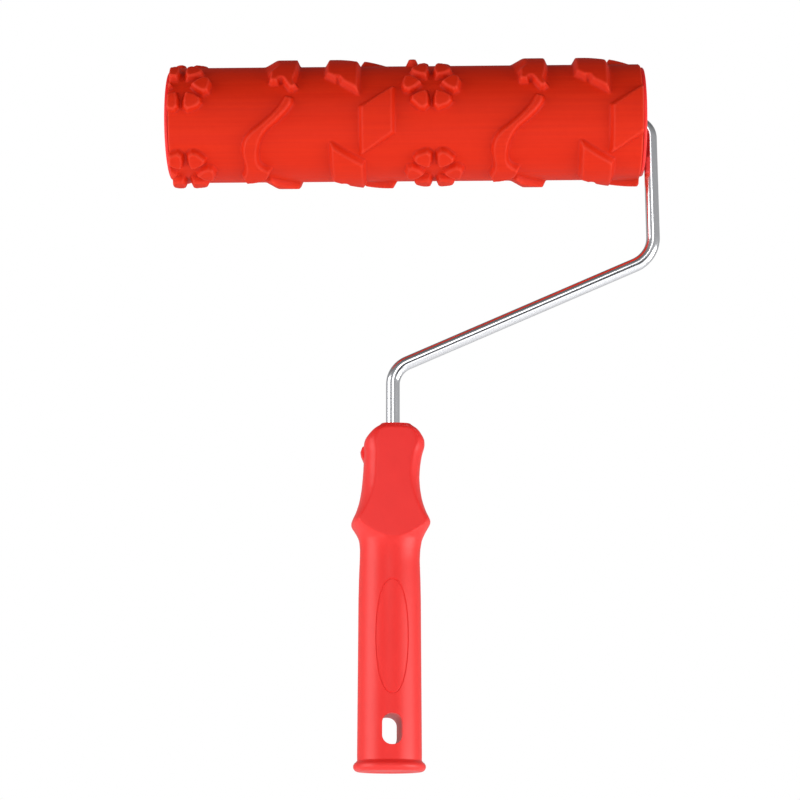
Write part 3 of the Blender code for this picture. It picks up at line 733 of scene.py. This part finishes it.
def make_nut(slot):
    """A pressed cap over the rod's free end: brim, waist and domed crown."""
    floor = ROD_FREE_END + 0.3 * MM
    crown = floor + NUT_WALL
    waist = NUT_RADIUS - 1.0 * MM
    start = COLLAR_FACES[0]
    profile = (
        (floor, 0.0),
        (floor, BORE_RADIUS),
        (start, BORE_RADIUS),
        (start, NUT_RADIUS),
        (start + NUT_BRIM, NUT_RADIUS),
        (start + NUT_BRIM + 0.2 * MM, waist),
        (crown - 0.6 * MM, waist),
        (crown, 0.55 * waist),
        (crown, 0.0),
    )
    radii = [r * MM for r in (0.0, 0.2, 0.1, 0.3, 0.3, 0.3, 0.8, 1.5, 0.0)]
    nut = object_from(turned(profile, radii, ROUND_SIDES, closed_along=False), "nut_cap", slot)
    place_on_barrel(nut, -1)
    finish_piece(nut, "frame", "push_nut")


# ---------------------------------------------------------------- rod

def make_rod(slot):
    """One bent wire in the XZ plane."""
    centre = Vector(barrel_middle)
    elbow_x = centre.x + ELBOW_OUT
    corners = [
        (centre.x - ROD_FREE_END, centre.z),
        (elbow_x, centre.z),
        (elbow_x, UPPER_CORNER_Z),
        (LEG_X, LOWER_CORNER_Z),
        (LEG_X, ROD_FOOT_Z),
    ]
    path = rounded(corners, [0.0, *BENDS, 0.0], closed=False, steps=28)
    rings = []
    for i, point in enumerate(path):
        heading = (path[min(i + 1, len(path) - 1)] - path[max(i - 1, 0)]).normalized()
        aside = Vector((-heading.y, heading.x))
        ring = []
        for k in range(64):
            angle = 2 * pi * k / 64
            flat = point + aside * ROD_RADIUS * cos(angle)
            ring.append((flat.x, ROD_RADIUS * sin(angle), flat.y))
        rings.append(ring)
    rod = object_from(skin(rings), "rod_wire", slot, sharp=60.0)
    finish_piece(rod, "frame", "frame_rod")


# ---------------------------------------------------------------- handle

def section_at(height):
    """Half width, half depth and squareness of the plain section, eased between the stations."""
    stations = np.array(HANDLE_SECTIONS)
    levels = stations[:, 0] * MM
    offsets = np.linspace(-1.0, 1.0, 9) * SECTION_EASING
    around_here = np.clip(height + offsets, levels[0], levels[-1])
    return [float(np.interp(around_here, levels, stations[:, k]).mean()) for k in (1, 2, 3)]


def handle_radius(height, angles):
    """The handle's surface from its axis at one height: the section, cut by the leaning facets."""
    half_width, half_depth, square = section_at(height)
    side, front = np.abs(np.sin(angles)), np.abs(np.cos(angles))
    across = (side / (half_width * MM)) ** square + (front / (half_depth * MM)) ** square
    radius = across ** (-1.0 / square)
    facet = (FACET_TOP + (HANDLE_HEIGHT - height) * FACET_LEAN) / np.maximum(front, 0.05)
    blend = np.clip(FACET_EDGE - np.abs(radius - facet), 0.0, None)
    return np.minimum(radius, facet) - blend**2 / (4 * FACET_EDGE)


def head_shift(height):
    """How far the handle's middle leans to +X at one height, eased between the stations."""
    heights, leans = zip(*HANDLE_LEAN)
    offsets = np.linspace(-1.0, 1.0, 9) * LEAN_EASING
    return float(np.mean(np.interp(height / MM + offsets, heights, leans))) * MM


def handle_levels():
    """Heights of the handle's rings above its lip."""
    levels = []
    for low, high, count in HANDLE_SPANS:
        levels += [low + (high - low) * i / count for i in range(count)]
    return levels[1:] + [HANDLE_HEIGHT]


def lip_profile():
    """(height, radius) of the lip, from the slightly dished end up to the crease under the grip."""
    bead = 1.9 * MM
    rings = [(0.5 * MM, 7.0 * MM), (0.35 * MM, 8.8 * MM), (0.0, 9.6 * MM)]
    for step in range(16):
        angle = radians(-90.0 + 10.0 * step)
        rings.append((0.45 * LIP_TOP * (1 + sin(angle)), LIP_RADIUS - bead * (1 - cos(angle))))
    return rings + [(LIP_TOP, 11.55 * MM)]


def slot_outline(size, corner, middle, steps=8):
    """A rounded rectangle in X and Z."""
    outline = []
    for quarter in range(4):
        for step in range(steps + 1):
            angle = pi / 2 * (quarter + step / steps)
            x = (size[0] / 2 - corner) * (1 if quarter in (0, 3) else -1)
            z = (size[1] / 2 - corner) * (1 if quarter in (0, 1) else -1)
            outline.append((x + corner * cos(angle), middle + z + corner * sin(angle)))
    return outline


def panel_path():
    """The engraved oval's centreline on the grip's skin."""
    path = []
    for step in range(PANEL_POINTS):
        angle = 2 * pi * step / PANEL_POINTS
        across = abs(cos(angle)) ** (2 / PANEL_SQUARENESS)
        along = abs(sin(angle)) ** (2 / PANEL_SQUARENESS)
        x = PANEL_SIZE[0] / 2 * (across if cos(angle) > 0 else -across)
        z = PANEL_Z + PANEL_SIZE[1] / 2 * (along if sin(angle) > 0 else -along)
        radius = float(handle_radius(z, np.array([PANEL_ANGLE]))[0])
        path.append(Vector((x, -sqrt(radius**2 - x**2), z)))
    return path


def groove_tube():
    """A thin closed tube along the oval, which cuts its groove."""
    path = panel_path()
    rings = []
    for i, point in enumerate(path):
        heading = (path[(i + 1) % len(path)] - path[i - 1]).normalized()
        outward = Vector((point.x, point.y, 0.0)).normalized()
        aside = heading.cross(outward).normalized()
        outward = aside.cross(heading)
        ring = []
        for k in range(12):
            angle = 2 * pi * k / 12
            ring.append(point + GROOVE_RADIUS * (aside * cos(angle) + outward * sin(angle)))
        rings.append(ring)
    return skin(rings, closed_along=True)


def nib():
    """A small rounded wedge on the -X side of the head's rear edge."""
    points = [(head_shift(NIB_Z) - x * MM, NIB_Z + z * MM) for x, z in NIB_OUTLINE]
    return prism(rounded(points, [r * MM for r in NIB_RADII]), *NIB_BACK)


def rod_bore():
    """What the rod's leg takes out of the handle, from its foot to above the head."""
    foot = ROD_FOOT_Z - 0.3 * MM
    top = HANDLE_HEIGHT + 10 * MM
    profile = ((foot, 0.0), (foot, BORE_RADIUS), (top, BORE_RADIUS), (top, 0.0))
    bore = turned(profile, [0.0] * len(profile), 64, closed_along=False)
    bmesh.ops.rotate(bore, matrix=Matrix.Rotation(-pi / 2, 3, "Y"), verts=bore.verts)
    bmesh.ops.translate(bore, vec=(LEG_X, 0.0, 0.0), verts=bore.verts)
    return bore


def make_handle(slot):
    """The moulding is drawn square on, turned about its own axis, and then bored for the rod's leg."""
    angles = 2 * pi * (np.arange(HANDLE_SEGMENTS) + 0.5) / HANDLE_SEGMENTS
    rings = []
    for height, radius in lip_profile():
        rings.append([(radius * sin(a), -radius * cos(a), height) for a in angles])
    for height in handle_levels():
        radius = handle_radius(height, angles)
        x = head_shift(height) + radius * np.sin(angles)
        rings.append(np.stack((x, -radius * np.cos(angles), np.full_like(angles, height)), -1).tolist())
    handle = object_from(skin(rings), "handle_moulding", slot, sharp=HANDLE_SHARP)
    hole = slot_outline(HOLE_SIZE, HOLE_CORNER, HOLE_Z)
    apply_boolean(handle, "UNION", nib())
    apply_boolean(handle, "DIFFERENCE", prism(hole, -LIP_RADIUS - 7 * MM, LIP_RADIUS + 7 * MM))
    apply_boolean(handle, "DIFFERENCE", groove_tube())
    handle.data.transform(Matrix.Rotation(HANDLE_TURN, 4, "Z"))
    apply_boolean(handle, "DIFFERENCE", rod_bore())
    handle.data.set_sharp_from_angle(angle=radians(HANDLE_SHARP))
    finish_piece(handle, "frame", "handle")


# ---------------------------------------------------------------- room

def make_floor():
    made, shader = new_material("floor_paper", (0.86, 0.86, 0.86), 0.7)
    tint(made, shader, spread(made, noise(made, 2.0), 0.0, 1.0), (0.85, 0.85, 0.85), (0.88, 0.88, 0.88))
    bm = bmesh.new()
    bmesh.ops.create_grid(bm, x_segments=1, y_segments=1, size=3.0)
    bmesh.ops.translate(bm, vec=(0.0, 0.0, FLOOR_Z), verts=bm.verts)
    floor = object_from(bm, "floor", made)
    floor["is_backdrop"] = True


def softbox(name, at, towards, size, radiance):
    """A rectangular light that the camera itself doesn't see."""
    light = bpy.data.lights.new(name, "AREA")
    light.shape = "RECTANGLE"
    light.size, light.size_y = size
    light.energy = radiance * pi * size[0] * size[1]
    obj = bpy.data.objects.new(name, light)
    obj.location = at
    obj.rotation_euler = (Vector(towards) - Vector(at)).to_track_quat("-Z", "Y").to_euler()
    obj.visible_camera = False
    bpy.context.scene.collection.objects.link(obj)


def make_dark_card():
    """A black card in front, which gives the bright rod its dark lines."""
    made, shader = new_material("card_black", (0.02, 0.02, 0.02), 0.9)
    patches = spread(made, noise(made, 9.0), 0.0, 1.0)
    tint(made, shader, patches, (0.015, 0.015, 0.015), (0.025, 0.025, 0.025))
    low, high = CARD_Z
    half = CARD_HALF_WIDTH
    corners = ((-half, low), (half, low), (half, high), (-half, high))
    bm = bmesh.new()
    bm.faces.new([bm.verts.new((x, CARD_Y, z)) for x, z in corners])
    card = object_from(bm, "dark_card", made)
    card.visible_camera = False
    card.visible_diffuse = False
    card.visible_shadow = False
    card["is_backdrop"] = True


def make_world():
    """White behind the object; dimmer overhead in what lights it."""
    world = bpy.data.worlds.new("studio")
    bpy.context.scene.world = world
    world.use_nodes = True
    nodes, links = world.node_tree.nodes, world.node_tree.links
    nodes.clear()
    place = nodes.new("ShaderNodeTexCoord")
    split = nodes.new("ShaderNodeSeparateXYZ")
    ramp = nodes.new("ShaderNodeValToRGB")
    for stop, (upward, level) in zip(ramp.color_ramp.elements, WORLD_STOPS):
        stop.position = upward
        stop.color = (level, level, level, 1.0)
    dim = nodes.new("ShaderNodeBackground")
    white = nodes.new("ShaderNodeBackground")
    white.inputs["Color"].default_value = (1.0, 1.0, 1.0, 1.0)
    rays = nodes.new("ShaderNodeLightPath")
    mix = nodes.new("ShaderNodeMixShader")
    out = nodes.new("ShaderNodeOutputWorld")
    links.new(place.outputs["Generated"], split.inputs["Vector"])
    links.new(split.outputs["Z"], ramp.inputs["Fac"])
    links.new(ramp.outputs["Color"], dim.inputs["Color"])
    links.new(rays.outputs["Is Camera Ray"], mix.inputs["Fac"])
    links.new(dim.outputs["Background"], mix.inputs[1])
    links.new(white.outputs["Background"], mix.inputs[2])
    links.new(mix.outputs["Shader"], out.inputs["Surface"])


def make_camera():
    camera = bpy.data.cameras.new("photo_camera")
    camera.lens = LENS
    camera.sensor_width = 36.0
    camera.clip_start = 0.01
    obj = bpy.data.objects.new("photo_camera", camera)
    obj.location = CAMERA_AT
    obj.rotation_euler = (pi / 2 + CAMERA_PITCH, 0.0, CAMERA_YAW)
    bpy.context.scene.collection.objects.link(obj)
    bpy.context.scene.camera = obj


def make_room():
    make_world()
    make_floor()
    make_camera()
    bpy.context.scene.view_settings.view_transform = "Standard"
    for name, at, size, radiance in SOFTBOXES:
        softbox(name, at, SOFTBOX_AIM, size, radiance)
    softbox("floor_softbox", (0.0, 0.0, -0.3), (0.0, 0.0, FLOOR_Z), (6.0, 6.0), 0.5)
    make_dark_card()


# ---------------------------------------------------------------- assembly

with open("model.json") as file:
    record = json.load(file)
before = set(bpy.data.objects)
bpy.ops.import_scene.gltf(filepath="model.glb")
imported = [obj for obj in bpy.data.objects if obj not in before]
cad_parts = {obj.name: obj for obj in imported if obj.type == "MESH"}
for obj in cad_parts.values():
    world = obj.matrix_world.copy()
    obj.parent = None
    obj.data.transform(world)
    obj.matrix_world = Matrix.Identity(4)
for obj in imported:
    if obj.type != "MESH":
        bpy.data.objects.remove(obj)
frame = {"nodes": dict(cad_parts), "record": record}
cad_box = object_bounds()
barrel_middle = Vector(frame["record"]["behaviour"]["joints"][0]["pos_m"])

rubber = rubber_material()
red_plastic = plastic_material("handle_red", (0.93, 0.023, 0.019), (0.97, 0.028, 0.023), 0.40)
core_plastic = plastic_material("core_grey", (0.75, 0.74, 0.71), (0.70, 0.69, 0.66), 0.5)
nylon = plastic_material("nylon", (0.86, 0.85, 0.80), (0.82, 0.81, 0.75), 0.4)
chrome = metal_material("chrome_plate", (0.84, 0.85, 0.88), 0.15, 0.20, 260.0, 0.001 * MM)
zinc = metal_material("zinc_plate", (0.62, 0.63, 0.65), 0.22, 0.38, 1500.0, 0.01 * MM)

make_sleeve(rubber)
for side, outwards in (("left", -1), ("right", 1)):
    make_cap(side, outwards, red_plastic)
    make_bush(side, outwards, nylon)
    make_washer(side, outwards, zinc)
make_collar(zinc)
make_nut(zinc)
make_rod(chrome)
make_handle(red_plastic)
for material_slot in frame["nodes"]["core_tube"].material_slots:
    material_slot.material = core_plastic
make_room()

[[list(corner) for corner in box] for box in (cad_box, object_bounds())]
